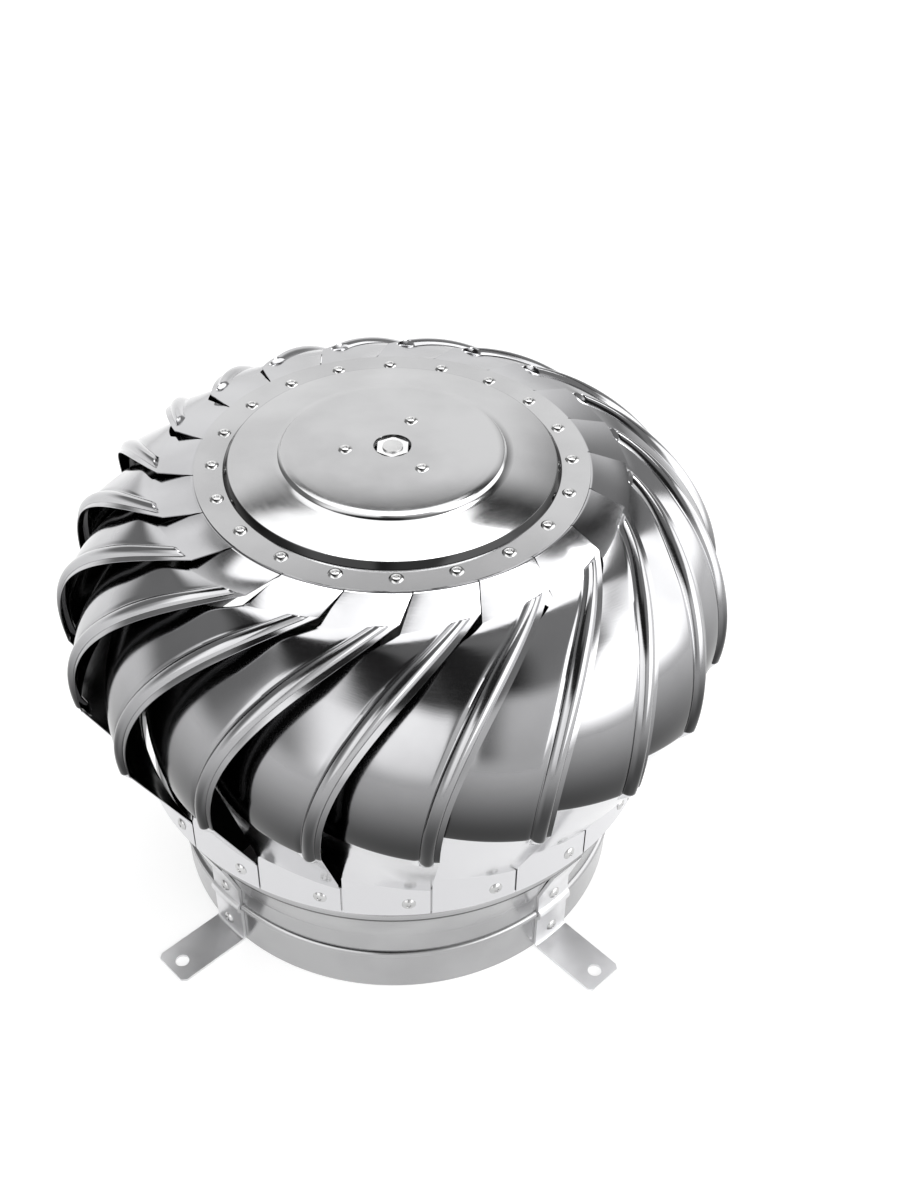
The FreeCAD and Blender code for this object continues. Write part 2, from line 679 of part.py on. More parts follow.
# Bearing cup: pressed flange, wall and lip that hold a bearing's outer ring.
def bearing_cup(name, bearing_bottom, flange_bottom, flange_radius, rivet_ring, azimuth):
    body = start_body(name)
    bore = size("bearing_outside") + size("fit_gap") / 2
    wall = size("cup_wall")
    lip = size("bearing_outside") - size("cup_lip")
    revolve(body, name + "_pressed", [
        (lip, bearing_bottom - wall),
        (bore + wall, bearing_bottom - wall),
        (bore + wall, flange_bottom),
        (flange_radius, flange_bottom),
        (flange_radius, flange_bottom + wall),
        (bore, flange_bottom + wall),
        (bore, bearing_bottom),
        (lip, bearing_bottom),
    ])
    doc.recompute()
    sketch = sketch_on(body, name + "_rivet_centre", "XY_Plane", flange_bottom)
    circle(sketch, rivet_ring, 0, size("rivet_shank") + size("fit_gap"))
    hole = pocket(body, name + "_rivet_hole", sketch, 3 * wall, both=True)
    polar(body, name + "_rivet_holes", [hole], size("cup_rivets"))
    body.Placement.Rotation = azimuth_turn(azimuth)


def cup_azimuths(first_hole):
    """Azimuths of a cup's rivets; the first is half a spoke pitch past the plate's first hole."""
    first = first_hole + 180.0 / num("spoke_count")
    step = 360.0 / num("cup_rivets")
    return [first + step * i for i in range(int(num("cup_rivets")))]


# Hub plate: round plate between the lower bearing cup and the spokes.
def hub_plate():
    body = start_body("hub_plate")
    plate = size("hub_height")
    sketch = sketch_on(body, "hub_plate_outline", "XY_Plane", plate)
    circle(sketch, 0, 0, size("hub_radius"))
    hole = size("bearing_outside") + size("cup_wall") + 2 * size("fit_gap")
    circle(sketch, 0, 0, hole)
    pad(body, "hub_plate_disc", sketch, size("hub_sheet"))
    doc.recompute()
    sketch = sketch_on(body, "hub_spoke_rivet_centre", "XY_Plane", plate)
    circle(sketch, size("spoke_rivet_ring"), 0, size("rivet_shank") + size("fit_gap"))
    hole = pocket(body, "hub_spoke_rivet_hole", sketch, 3 * size("hub_sheet"), both=True)
    polar(body, "hub_spoke_rivet_holes", [hole], size("spoke_count"))
    doc.recompute()
    cup_holes(body, "hub_cup_rivet", size("cup_rivet_ring"), plate, 3 * size("hub_sheet"))
    body.Placement.Rotation = azimuth_turn(spoke_azimuths()[0])


def cup_holes(body, name, ring, height, depth):
    """Holes for a bearing cup's rivets; the first is half a spoke pitch past the body's +X."""
    for i in range(int(num("cup_rivets"))):
        sketch = sketch_on(body, f"{name}_centre_{i}", "XY_Plane", height)
        angle = math.radians(cup_azimuths(0.0)[i])
        x = ring * math.cos(angle)
        y = ring * math.sin(angle)
        circle(sketch, x, y, size("rivet_shank") + size("fit_gap"))
        pocket(body, f"{name}_hole_{i}", sketch, depth, both=True)


def ring_rivet_azimuths():
    """Azimuths of the rivets in the lower ring, one per vane."""
    first = num("rest_turn") + VaneForm().lead - num("rib_sweep") - num("strip_rivet_lag")
    pitch = 360.0 / num("vane_count")
    return [first + pitch * i for i in range(int(num("vane_count")))]


def spoke_azimuths():
    """Spokes stand at every fourth ring rivet."""
    rivets = ring_rivet_azimuths()
    step = len(rivets) // int(num("spoke_count"))
    return [rivets[i * step] for i in range(int(num("spoke_count")))]


# Spoke: flat bar from the hub to the lower ring, its outer end bent up and riveted to the ring.
def spoke(index):
    name = f"spoke_{index + 1}"
    body = start_body(name)
    thick = size("spoke_sheet")
    half = size("spoke_width") / 2
    bottom = size("hub_height") - thick
    end = size("ring_radius") - size("ring_wall") - size("fit_gap")
    sketch = sketch_on(body, name + "_side", "XZ_Plane")
    flat = end - half * half / end / 2
    top = size("ring_bottom") + size("ring_height")
    outline(sketch, [
        (size("spoke_start"), bottom),
        (flat, bottom),
        (flat, top),
        (flat - thick, top),
        (flat - thick, bottom + thick),
        (size("spoke_start"), bottom + thick),
    ])
    pad(body, name + "_strip", sketch, 2 * half, both=True)
    doc.recompute()
    sketch = sketch_on(body, name + "_hub_rivet_centre", "XY_Plane", bottom)
    circle(sketch, size("spoke_rivet_ring"), 0, size("rivet_shank") + size("fit_gap"))
    pocket(body, name + "_hub_rivet_hole", sketch, 3 * thick, both=True)
    doc.recompute()
    sketch = sketch_on(body, name + "_ring_rivet_centre", "YZ_Plane", flat)
    circle(sketch, 0, size("ring_rivet_height"), size("rivet_shank") + size("fit_gap"))
    pocket(body, name + "_ring_rivet_hole", sketch, 3 * thick, both=True)
    body.Placement.Rotation = azimuth_turn(spoke_azimuths()[index])


# Lower ring: rolled strip that closes the rotor and takes the vane ends and the spokes.
def lower_ring():
    body = start_body("lower_ring")
    sketch = sketch_on(body, "lower_ring_outline", "XY_Plane", size("ring_bottom"))
    circle(sketch, 0, 0, size("ring_radius"))
    circle(sketch, 0, 0, size("ring_radius") - size("ring_wall"))
    pad(body, "lower_ring_strip", sketch, size("ring_height"))
    doc.recompute()
    sketch = sketch_on(body, "lower_ring_hole_centre", "YZ_Plane")
    circle(sketch, 0, size("ring_rivet_height"), size("rivet_shank") + size("fit_gap"))
    hole = pocket(body, "lower_ring_hole", sketch, 2 * size("ring_radius"), down=True)
    polar(body, "lower_ring_holes", [hole], size("vane_count"))
    body.Placement.Rotation = azimuth_turn(ring_rivet_azimuths()[0])


# Top cap: one pressed plate with a flat flange, a raised dish and a raised centre disc.
def top_cap():
    body = start_body("top_cap")
    thick = size("cap_sheet")
    run = size("step_run")
    low = size("cap_underside")
    dish = low + size("dish_rise")
    dish_top = dish + size("dish_slope_rise")
    disc = dish_top + size("disc_rise")
    revolve(body, "top_cap_pressed", [
        (size("cap_radius"), low),
        (size("cap_radius"), low + thick),
        (size("dish_radius"), low + thick),
        (size("dish_radius") - run, dish + thick),
        (size("disc_radius"), dish_top + thick),
        (size("disc_radius") - run, disc + thick),
        (size("cap_hole_radius"), disc + thick),
        (size("cap_hole_radius"), disc),
        (size("disc_radius") - run, disc),
        (size("disc_radius"), dish_top),
        (size("dish_radius") - run, dish),
        (size("dish_radius"), low),
    ])
    doc.recompute()
    sketch = sketch_on(body, "cap_rivet_centre", "XY_Plane", low)
    circle(sketch, size("cap_rivet_ring"), 0, size("rivet_shank") + size("fit_gap"))
    hole = pocket(body, "cap_rivet_hole", sketch, 4 * thick, both=True)
    polar(body, "cap_rivet_holes", [hole], size("vane_count"))
    doc.recompute()
    cup_holes(body, "cap_cup_rivet", size("high_cup_rivet_ring"), disc, 4 * thick)
    body.Placement.Rotation = azimuth_turn(num("rest_turn"))


def disc_underside():
    rises = num("dish_rise") + num("dish_slope_rise") + num("disc_rise")
    return num("cap_underside") + rises


def smooth_step(value):
    """Goes smoothly from 0 to 1 while its value does."""
    held = min(max(value, 0.0), 1.0)
    return held * held * (3 - 2 * held)


class VaneForm:
    """Formula of one vane: rows run down the vane, columns run back from its ribbed edge."""

    def __init__(self):
        self.centre_radius = num("bulge_centre_radius")
        self.centre_height = num("bulge_centre_height")
        self.half_width = num("bulge_half_width")
        self.half_height = num("bulge_half_height")
        self.start = math.asin((num("rib_start_radius") - self.centre_radius) / self.half_width)
        self.end = math.radians(90 + num("fold_drop"))
        self.pitch = 360.0 / num("vane_count")
        self.lead = num("tab_lead") * num("edge_lead_share")

    def edge(self, share):
        """Radius, height and angle of the ribbed edge, from the tab's end (0) to the fold (1)."""
        turn = self.start + (self.end - self.start) * share
        radius = self.centre_radius + self.half_width * math.sin(turn)
        height = self.centre_height + self.half_height * math.cos(turn)
        sweep = num("rib_sweep") * (1 - (1 - share) ** num("rib_ease"))
        return radius, height, self.lead - sweep

    def normal(self, share):
        """Outward normal of the bulge in the upright plane, as radial and upward parts."""
        turn = self.start + (self.end - self.start) * share
        out = self.half_height * math.sin(turn)
        up = self.half_width * math.cos(turn)
        length = math.hypot(out, up)
        return out / length, up / length

    def slant(self, share):
        """Cosine of the angle between the rib and the upright plane."""
        step = 0.01
        first = self.edge(max(share - step, 0.0))
        last = self.edge(min(share + step, 1.0))
        rise = math.hypot(last[0] - first[0], last[1] - first[1])
        side = math.radians(last[2] - first[2]) * (first[0] + last[0]) / 2
        return rise / math.hypot(rise, side)

    def columns(self, share):
        """Angles behind the ribbed edge, and rib heights, of all columns."""
        radius = self.edge(share)[0]
        scale = math.degrees(1 / (radius * self.slant(share)))
        lip = num("lip_width") * scale
        rib = num("rib_width") * scale
        rise = num("rib_height") if share > 0.0 else 0.0
        flank = rib * num("rib_flank_share")
        wide = smooth_step(share / num("widening_share"))
        widest = self.pitch + (num("vane_reach") - self.pitch) * wide
        crest = [(lip + flank, rise), (lip + rib - flank, rise)]
        rest = [(lip + rib + (widest - lip - rib) * part / 3, 0.0) for part in (1, 2, 3)]
        return [(0.0, 0.0), (lip, 0.0)] + crest + [(lip + rib, 0.0)] + rest

    def bulge_row(self, share, ribbed=True):
        """Outer and inner points of one row of the bulge, with its rib or without."""
        radius, height, angle = self.edge(share)
        out, up = self.normal(share)
        grow = smooth_step(share / num("widening_share"))
        dip = num("vane_dip") * grow - num("trail_spread") * (1 - grow)
        drop = num("trail_drop") * (1 - grow)
        outer = []
        inner = []
        for behind, crest in self.columns(share):
            rise = crest if ribbed else 0.0
            part = behind / self.pitch
            r = radius - dip * part ** num("dip_power") + rise * out
            z = height - drop * part + rise * up
            outer.append(polar_point(r, angle - behind, z))
            back = num("vane_sheet")
            inner.append(polar_point(r - back * out, angle - behind, z - back * up))
        return outer, inner

    def tab_row(self, radius):
        """Outer and inner points of one straight row of the tab under the cap's flange."""
        reach = [behind for behind, _ in self.columns(0.0)]
        top = num("cap_underside")
        width = self.pitch - num("vane_gap")
        outer = []
        inner = []
        for behind in reach:
            angle = num("tab_lead") - width * behind / reach[-1]
            outer.append(polar_point(radius, angle, top))
            inner.append(polar_point(radius, angle, top - num("vane_sheet")))
        return outer, inner

    def strip_row(self, first_height, last_height):
        """Outer and inner points of one row of the strip that is riveted to the lower ring."""
        reach = [behind for behind, _ in self.columns(1.0)]
        angle = self.edge(1.0)[2]
        width = self.pitch - num("vane_gap")
        inside = num("ring_radius") + num("strip_gap")
        outer = []
        inner = []
        for behind in reach:
            part = behind / reach[-1]
            turn = angle - width * part
            height = first_height + (last_height - first_height) * part
            outer.append(polar_point(inside + num("vane_sheet"), turn, height))
            inner.append(polar_point(inside, turn, height))
        return outer, inner

    def rib_end_row(self, strip):
        """Row on the facet where the rib has died out, a share of the way down to the strip."""
        fold = self.bulge_row(1.0, ribbed=False)
        share = num("rib_end_share")
        outer = [a + (b - a) * share for a, b in zip(fold[0], strip[0])]
        inner = [a + (b - a) * share for a, b in zip(fold[1], strip[1])]
        return outer, inner


def polar_point(radius, azimuth, height):
    """Point at an azimuth measured from +X, about which the vane is drawn."""
    turn = math.radians(azimuth)
    return FreeCAD.Vector(radius * math.cos(turn), radius * math.sin(turn), height)


def rail(points):
    """Edge through a column's points: a line for two of them, a smooth spline for more."""
    if len(points) == 2:
        return Part.makeLine(points[0], points[1])
    curve = Part.BSplineCurve()
    curve.interpolate(points)
    return curve.toShape()


def quad(a, b, c, d):
    """Face on four corners, ruled between two of its sides."""
    return Part.makeRuledSurface(Part.makeLine(a, b), Part.makeLine(d, c))


# Vane: pressed strip with a tab under the cap, a ribbed bulge, a folded facet and a bottom strip.
def vane_shape():
    form = VaneForm()
    rows = 9
    start = num("rib_start_share")
    shares = [start + (1.0 - start) * (i / (rows - 1)) ** 1.2 for i in range(rows)]
    bulge = [form.bulge_row(share) for share in shares]
    top = form.bulge_row(0.0)
    rim = form.tab_row(num("cap_radius") + num("tab_overhang"))
    tab = [form.tab_row(num("tab_root_radius")), rim]
    bottom = num("strip_bottom")
    strips = [form.strip_row(num("facet_low_height"), num("facet_high_height")),
              form.strip_row(bottom, bottom)]
    rib_end = form.rib_end_row(strips[0])
    stretches = [tab, [rim, top], [top, bulge[0]], bulge, [bulge[-1], rib_end],
                 [rib_end, strips[0]], strips]
    count = len(top[0])
    faces = []
    for stretch in stretches:
        outer = [rail([row[0][j] for row in stretch]) for j in range(count)]
        inner = [rail([row[1][j] for row in stretch]) for j in range(count)]
        for rails in (outer, inner):
            faces += [Part.makeRuledSurface(rails[j], rails[j + 1]) for j in range(count - 1)]
        faces += [Part.makeRuledSurface(outer[j], inner[j]) for j in (0, count - 1)]
    for outer, inner in (tab[0], strips[1]):
        faces += [quad(outer[j], outer[j + 1], inner[j + 1], inner[j]) for j in range(count - 1)]
    shell = Part.makeShell(faces)
    shell.sewShape(0.001)
    solid = Part.makeSolid(shell)
    if solid.Volume < 0:
        solid.reverse()
    return bored_vane(solid, form)


def bored_vane(solid, form):
    """Cuts the two rivet holes of a vane."""
    bore = num("rivet_shank") + num("fit_gap")
    stroke = num("drill_length")
    top = polar_point(num("cap_rivet_ring"), 0, num("cap_underside") - stroke / 2)
    cap_hole = Part.makeCylinder(bore, stroke, top)
    turn = form.edge(1.0)[2] - num("strip_rivet_lag")
    start = polar_point(num("ring_radius") - stroke / 2, turn, num("ring_rivet_height"))
    ahead = polar_point(1, turn, 0)
    ring_hole = Part.makeCylinder(bore, stroke, start, ahead)
    return solid.cut(cap_hole).cut(ring_hole)


def vanes():
    shape = vane_shape()
    pitch = 360.0 / num("vane_count")
    for i in range(int(num("vane_count"))):
        turn = azimuth_turn(num("rest_turn") + i * pitch)
        place = FreeCAD.Placement(FreeCAD.Vector(0, 0, 0), turn)
        part_node(f"vane_{i + 1:02d}", shape.copy(), place)


# Rivets of the rotor, each group in one node.
def rotor_rivets():
    pitch = 360.0 / num("vane_count")
    cap_top = num("cap_underside") + num("cap_sheet")
    cap = blind_rivet(num("cap_sheet") + num("vane_sheet"))
    azimuths = [num("rest_turn") + pitch * i for i in range(int(num("vane_count")))]
    part_node("cap_rivets", Part.makeCompound(
        [placed(cap, upright_place(a, num("cap_rivet_ring"), cap_top)) for a in azimuths]))
    outside = num("ring_radius") + num("strip_gap") + num("vane_sheet")
    ring_inside = num("ring_radius") - num("ring_wall")
    short = blind_rivet(outside - wall_inside(ring_inside))
    half = num("spoke_width") / 2
    end = ring_inside - num("fit_gap")
    tab_face = end - half * half / end / 2 - num("spoke_sheet")
    long = blind_rivet(outside - tab_face)
    spokes = spoke_azimuths()
    plain = [a for a in ring_rivet_azimuths() if a not in spokes]
    height = num("ring_rivet_height")
    part_node("ring_rivets", Part.makeCompound(
        [placed(short, radial_place(a, outside, height)) for a in plain]))
    part_node("spoke_end_rivets", Part.makeCompound(
        [placed(long, radial_place(a, outside, height)) for a in spokes]))
    spoke_rivet = blind_rivet(num("hub_sheet") + num("spoke_sheet"))
    under = num("hub_height") - num("spoke_sheet")
    part_node("spoke_hub_rivets", Part.makeCompound(
        [placed(spoke_rivet, upright_place(a, num("spoke_rivet_ring"), under, True))
         for a in spokes]))
    low_cup = blind_rivet(num("hub_sheet") + num("cup_wall"))
    part_node("lower_cup_rivets", Part.makeCompound(
        [placed(low_cup, upright_place(a, num("cup_rivet_ring"), num("hub_height"), True))
         for a in cup_azimuths(spoke_azimuths()[0])]))
    high_cup = blind_rivet(num("cap_sheet") + num("cup_wall"))
    disc_top = disc_underside() + num("cap_sheet")
    part_node("upper_cup_rivets", Part.makeCompound(
        [placed(high_cup, upright_place(a, num("high_cup_rivet_ring"), disc_top))
         for a in cup_azimuths(num("rest_turn"))]))


def build():
    neck_ring()
    for index in range(int(num("foot_count"))):
        foot_bracket(index)
    foot_rivets()
    cross_bar("cross_bar_lower", 0, foot_azimuths()[0])
    cross_bar("cross_bar_upper", 1, foot_azimuths()[1])
    shaft()
    clamp_pieces()
    retaining_clip()
    bearing("lower", size("low_bearing_height"))
    bearing("upper", size("high_bearing_height"))
    bearing_cup("lower_bearing_cup", size("low_bearing_height"),
                size("hub_height") + size("hub_sheet"), size("low_cup_flange"),
                size("cup_rivet_ring"), cup_azimuths(spoke_azimuths()[0])[0])
    rises = size("dish_rise") + size("dish_slope_rise") + size("disc_rise")
    disc = size("cap_underside") + rises
    bearing_cup("upper_bearing_cup", size("high_bearing_height"), disc - size("cup_wall"),
                size("high_cup_flange"), size("high_cup_rivet_ring"),
                cup_azimuths(num("rest_turn"))[0])
    hub_plate()
    for index in range(int(num("spoke_count"))):
        spoke(index)
    lower_ring()
    top_cap()
    vanes()
    rotor_rivets()


def check_and_export():
    doc.recompute()
    for item in doc.Objects:
        if "Invalid" in item.State or "Error" in item.State:
            raise RuntimeError(f"{item.Name} did not recompute: {item.State}")
    for node in NODES:
        shape = node.Shape
        if shape.isNull() or not shape.isValid() or not shape.Solids:
            raise RuntimeError(f"{node.Label} has no valid solid")
    os.makedirs("parts", exist_ok=True)
    for node in NODES:
        node.Shape.exportStep(f"parts/{node.Label}.step")


build()
check_and_export()
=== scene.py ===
import math
import bmesh
import bpy
import numpy as np
from mathutils import Matrix, Vector


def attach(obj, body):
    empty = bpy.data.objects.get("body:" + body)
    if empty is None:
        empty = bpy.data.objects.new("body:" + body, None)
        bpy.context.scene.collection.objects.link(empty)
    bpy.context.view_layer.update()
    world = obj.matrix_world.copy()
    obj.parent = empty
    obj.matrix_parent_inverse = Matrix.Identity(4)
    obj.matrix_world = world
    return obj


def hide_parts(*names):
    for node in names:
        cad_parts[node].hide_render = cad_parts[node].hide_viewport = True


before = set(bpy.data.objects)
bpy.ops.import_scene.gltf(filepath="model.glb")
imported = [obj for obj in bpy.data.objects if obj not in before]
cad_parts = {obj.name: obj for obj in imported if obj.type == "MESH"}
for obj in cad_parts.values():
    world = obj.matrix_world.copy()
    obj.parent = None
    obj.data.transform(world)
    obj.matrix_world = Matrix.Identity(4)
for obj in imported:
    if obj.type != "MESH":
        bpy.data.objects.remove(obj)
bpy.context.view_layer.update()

# Camera: it looks down on the ventilator from the front, a little under the height of a
# person's eye, and leans by about one degree. The feet are turned 3.3 degrees to its axes.
feet_turn = Matrix.Rotation(math.radians(3.3), 3, "Z")
camera_place = feet_turn @ Vector((0.0, -0.7274, 0.8364))
camera_target = feet_turn @ Vector((0.04132, 0.0, 0.20193))
camera_lean = 0.022546
sensor = 36.0
focal_share = 1508.13 / 1200

away = (camera_place - camera_target).normalized()
level_right = Vector((0, 0, 1)).cross(away).normalized()
level_up = away.cross(level_right)
camera_right = level_right * math.cos(camera_lean) + level_up * math.sin(camera_lean)
camera_up = level_up * math.cos(camera_lean) - level_right * math.sin(camera_lean)
lens = bpy.data.cameras.new("studio_camera")
lens.sensor_width = sensor
lens.lens = focal_share * sensor
lens.clip_end = 60.0
camera = bpy.data.objects.new("studio_camera", lens)
bpy.context.scene.collection.objects.link(camera)
camera_axes = Matrix((camera_right, camera_up, away)).transposed().to_4x4()
camera.matrix_world = Matrix.Translation(camera_place) @ camera_axes
bpy.context.scene.camera = camera
bpy.context.scene.view_settings.view_transform = "Standard"


# Floor: plain, pale, seamless and matt, lit a little from below like a shadowless table. Under
# the neck a near-black disc that gives no light is painted as the shade in the opening that the
# ventilator covers.
class Signal:
    """A shader value that plain arithmetic can be written on; each sign adds a Math node."""

    def __init__(self, shader, socket):
        self.shader = shader
        self.socket = socket

    def maths(self, operation, *values):
        return self.shader.add("ShaderNodeMath", {"operation": operation}, dict(enumerate(values)))

    def __add__(self, other):
        return self.maths("ADD", self, other)

    def __radd__(self, other):
        return self.maths("ADD", other, self)

    def __sub__(self, other):
        return self.maths("SUBTRACT", self, other)

    def __rsub__(self, other):
        return self.maths("SUBTRACT", other, self)

    def __mul__(self, other):
        return self.maths("MULTIPLY", self, other)

    def __rmul__(self, other):
        return self.maths("MULTIPLY", other, self)

    def clipped(self):
        return self.maths("MINIMUM", self.maths("MAXIMUM", self, 0.0), 1.0)

    def between(self, low, high):
        """0 below low, 1 above high, smooth on the way."""
        sockets = {"Value": self, "From Min": low, "From Max": high}
        return self.shader.add("ShaderNodeMapRange", {"interpolation_type": "SMOOTHSTEP"}, sockets)

    def band(self, low, high, soft):
        """1 from low to high, and 0 on both sides past a soft edge that lies inside them."""
        return self.between(low, low + soft) * (1 - self.between(high - soft, high))


class Finish:
    """A material, or the room's own, under construction, with one method that adds any node."""

    def __init__(self, name, tree_of="material", **constants):
        kinds = {"material": (bpy.data.materials, "Principled BSDF"),
                 "world": (bpy.data.worlds, "Background")}
        self.material = kinds[tree_of][0].new(name)
        self.material.use_nodes = True
        self.tree = self.material.node_tree
        self.shader = self.tree.nodes[kinds[tree_of][1]]
        for socket, value in constants.items():
            self.shader.inputs[socket.replace("_", " ")].default_value = value

    def add(self, kind, settings=None, sockets=None, output=0):
        node = self.tree.nodes.new(kind)
        for key, value in (settings or {}).items():
            setattr(node, key, value)
        for key, value in (sockets or {}).items():
            if isinstance(value, Signal):
                self.tree.links.new(value.socket, node.inputs[key])
            else:
                node.inputs[key].default_value = value
        return Signal(self, node.outputs[output])

    def part(self, vector, axis):
        """One of the three numbers of a vector signal."""
        return self.add("ShaderNodeSeparateXYZ", None, {0: vector}, axis)

    def place(self, scale=(1.0, 1.0, 1.0)):
        """Object coordinates, scaled along each axis."""
        spot = self.add("ShaderNodeTexCoord", output="Object")
        return self.add("ShaderNodeMapping", None, {"Vector": spot, "Scale": scale})

    def reach(self):
        """Distance from the upright middle line: the length of the object coordinates, flat."""
        spot = self.place((1.0, 1.0, 0.0))
        return self.add("ShaderNodeVectorMath", {"operation": "LENGTH"}, {0: spot}, 1)

    def noise(self, where, scale, detail=3.0):
        sockets = {"Vector": where, "Scale": scale, "Detail": detail}
        return self.add("ShaderNodeTexNoise", None, sockets)

    def mixed(self, share, first, second):
        """A colour part of the way from the first to the second."""
        return self.add("ShaderNodeMix", {"data_type": "RGBA"}, {0: share, 6: first, 7: second}, 2)

    def bump(self, height, distance, strength):
        sockets = {"Height": height, "Distance": distance, "Strength": strength}
        return self.add("ShaderNodeBump", None, sockets)

    def feed(self, **signals):
        for socket, value in signals.items():
            self.tree.links.new(value.socket, self.shader.inputs[socket.replace("_", " ")])


def grid_faces(rows, columns, round_rows=False, round_columns=False):
    """Four-sided faces between neighbours of a grid that may close on itself either way."""
    r = np.arange(rows if round_rows else rows - 1)[:, None]
    c = np.arange(columns if round_columns else columns - 1)[None, :]
    down = (r + 1) % rows
    across = (c + 1) % columns
    corners = (r * columns + c, r * columns + across, down * columns + across, down * columns + c)
    return np.stack([corner + 0 * (r + c) for corner in corners], axis=-1).reshape(-1, 4)


floor_half, floor_lines, floor_height = 9.0, 7, -0.0005
floor_finish = Finish("studio_floor", Roughness=0.9, Emission_Strength=0.72)
# Painted shade: inside the opening under the neck the floor is near black and gives no light.
around_opening = floor_finish.reach().between(0.148, 0.1495)
grain = floor_finish.noise(floor_finish.place(), 3.0)
pale = floor_finish.mixed(grain.between(0.3, 0.7), (0.40, 0.40, 0.40, 1), (0.43, 0.43, 0.43, 1))
floor_finish.feed(
    Base_Color=floor_finish.mixed(around_opening, (0.02, 0.02, 0.02, 1), pale),
    Emission_Color=floor_finish.mixed(around_opening, (0, 0, 0, 1), (1, 1, 1, 1)))
side = np.linspace(-floor_half, floor_half, floor_lines)
floor_points = np.stack(np.meshgrid(side, side, [floor_height]), axis=-1).reshape(-1, 3)
floor_mesh = bpy.data.meshes.new("studio_floor")
floor_mesh.from_pydata(floor_points, [], grid_faces(floor_lines, floor_lines)[:, ::-1])
floor_mesh.materials.append(floor_finish.material)
floor = bpy.data.objects.new("studio_floor", floor_mesh)
bpy.context.scene.collection.objects.link(floor)

# Soft light: one box under the ceiling behind the ventilator. The room round it is pale, with a
# bright rear wall, ceiling panel, right wall and front left, and a dark upper front. In it x is
# the way to the right, y to the back and z up, and each name is a share of light, 0 to 1.
light_place = Vector((0.15, 1.55, 3.0))
light_aim = Vector((0, 0, 0.2))
lamp = bpy.data.lights.new("ceiling_box", "AREA")
lamp.shape = "RECTANGLE"
lamp.size = 1.6
lamp.size_y = 0.6
lamp.energy = 20
light = bpy.data.objects.new("ceiling_box", lamp)
light.location = light_place
light.rotation_euler = (light_aim - light_place).to_track_quat("-Z", "Y").to_euler()
bpy.context.scene.collection.objects.link(light)

room = Finish("studio_room", tree_of="world")
way = room.add("ShaderNodeTexCoord", output="Generated")
x, y, z = (room.part(way, axis) for axis in range(3))
front = 1 - y.between(-0.22, -0.02)
low = 1 - z.between(0.70, 0.82)
rear_wall = (y.between(0.12, 0.32) * (1 - z.between(0.60, 0.72)) * x.between(-0.62, -0.46)
             * (1 - 0.75 * x.between(0.10, 0.42)))
hatch = x.band(-0.15, 0.15, 0.03) * z.between(0.725, 0.735)
panel_height = ((z - 0.15 * x).between(0.76, 0.775) + hatch).clipped()
panel_width = x.between(-0.46, -0.40) * (1 - x.between(0.40, 0.45))
ceiling_panel = y.between(0.22, 0.26) * panel_height * panel_width
behind_middle = y.maths("MAXIMUM", y, 0.1) - 0.1
right_wall = ((x - 0.2 * z - 0.5 * behind_middle).between(0.36, 0.46)
              * (1 - z.between(0.72, 0.80)))
front_left = front * low * (1 - x.between(-0.16, -0.10)) * x.between(-0.90, -0.65)
front_middle = front * low * x.between(-0.10, 0.14)
left_wall = (0 - x).between(0.3, 0.7) * low
upper_right = x.between(0.08, 0.3) * (1 - low)
zenith = z.between(0.965, 0.99)
light_level = (0.02 + 1.3 * rear_wall + 2.3 * ceiling_panel + 2.2 * right_wall
               + 1.5 * front_left + 0.25 * front * low + 0.65 * front_middle
               + 0.25 * left_wall + 0.3 * upper_right + 0.2 * zenith)
haze_level = 1.1
haze = 1 - z.between(-0.02, 0.24)
hazy_level = haze_level * haze + (1 - haze) * light_level
seen = room.add("ShaderNodeLightPath")
room.feed(Color=haze_level * seen + (1 - seen) * hazy_level)
bpy.context.scene.world = room.material


# Vane: twenty stainless strips, each pressed to a bulge with a hollow rib along its leading
# edge, a flat tab riveted under the cap, and a folded facet that ends in a strip riveted to the
# lower ring. Painted shade darkens the polish toward the fold, on the rib's lower half and on the
# inner side, and a painted highlight brightens the facet.
def polished_sheet(name, colour, dull, wave, painted_light):
    """Mirror-polished sheet with faint polishing lines, cloudy smears and slight waviness.

    dull is its lowest roughness and wave its waviness in millimetres. The last argument takes
    the finish and gives pairs of painted shade and painted highlight: a share at each spot, and
    the tone that the colour is multiplied by there."""
    finish = Finish(name, Metallic=1.0)
    spot = finish.place()
    cloud = finish.noise(spot, 14.0, 4.0)
    lines = finish.noise(finish.place((30.0, 30.0, 900.0)), 3.0, 2.0)
    specks = finish.noise(spot, 420.0, 2.0)
    smear = cloud.between(0.35, 0.7)
    metal = finish.mixed(smear, (*colour, 1), (*(0.86 * c for c in colour), 1))
    # Painted shade and painted highlight, multiplied into the sheet's colour.
    for share, tone in painted_light(finish):
        metal = finish.mixed(share, metal, (*(tone * c for c in colour), 1))
    finish.feed(
        Base_Color=metal,
        Roughness=dull + 0.07 * smear + 0.05 * lines + 0.03 * specks,
        Normal=finish.bump(finish.noise(spot, 26.0, 1.0) + 0.05 * lines, wave * 0.001, 0.5))
    return finish


def vane_painted_light(finish):
    """Painted shade and painted highlight by the vane's own map, whose second number goes from 0
    at
    the tab over 0.5 at the fold to 1: painted shade on a band above the fold and on the lower half
    of the rib, and a painted highlight on the facet. The inner side, where the map's first number
    is over 1, gets painted shade."""
    span = finish.add("ShaderNodeUVMap", {"uv_map": "span"})
    across = finish.part(span, 0)
    down = finish.part(span, 1)
    above_fold = 1 - down.between(0.5, 0.505)
    # Painted shade above the fold and on the rib's lower half, a painted highlight on the facet,
    # and painted shade on the inner side.
    painted_fold_shade = down.between(0.27, 0.49) * above_fold
    rib = across.between(0.36, 0.42) * (1 - across.between(0.60, 0.65)) * down.between(0.36, 0.46)
    inner = across.between(1.0, 1.02)
    return [(painted_fold_shade, 0.07), (rib * above_fold, 0.10), (1 - above_fold, 1.4), (inner, 0.10)]


vane_finish = polished_sheet("vane_sheet", (0.47, 0.47, 0.48), 0.06, 0.25, vane_painted_light)
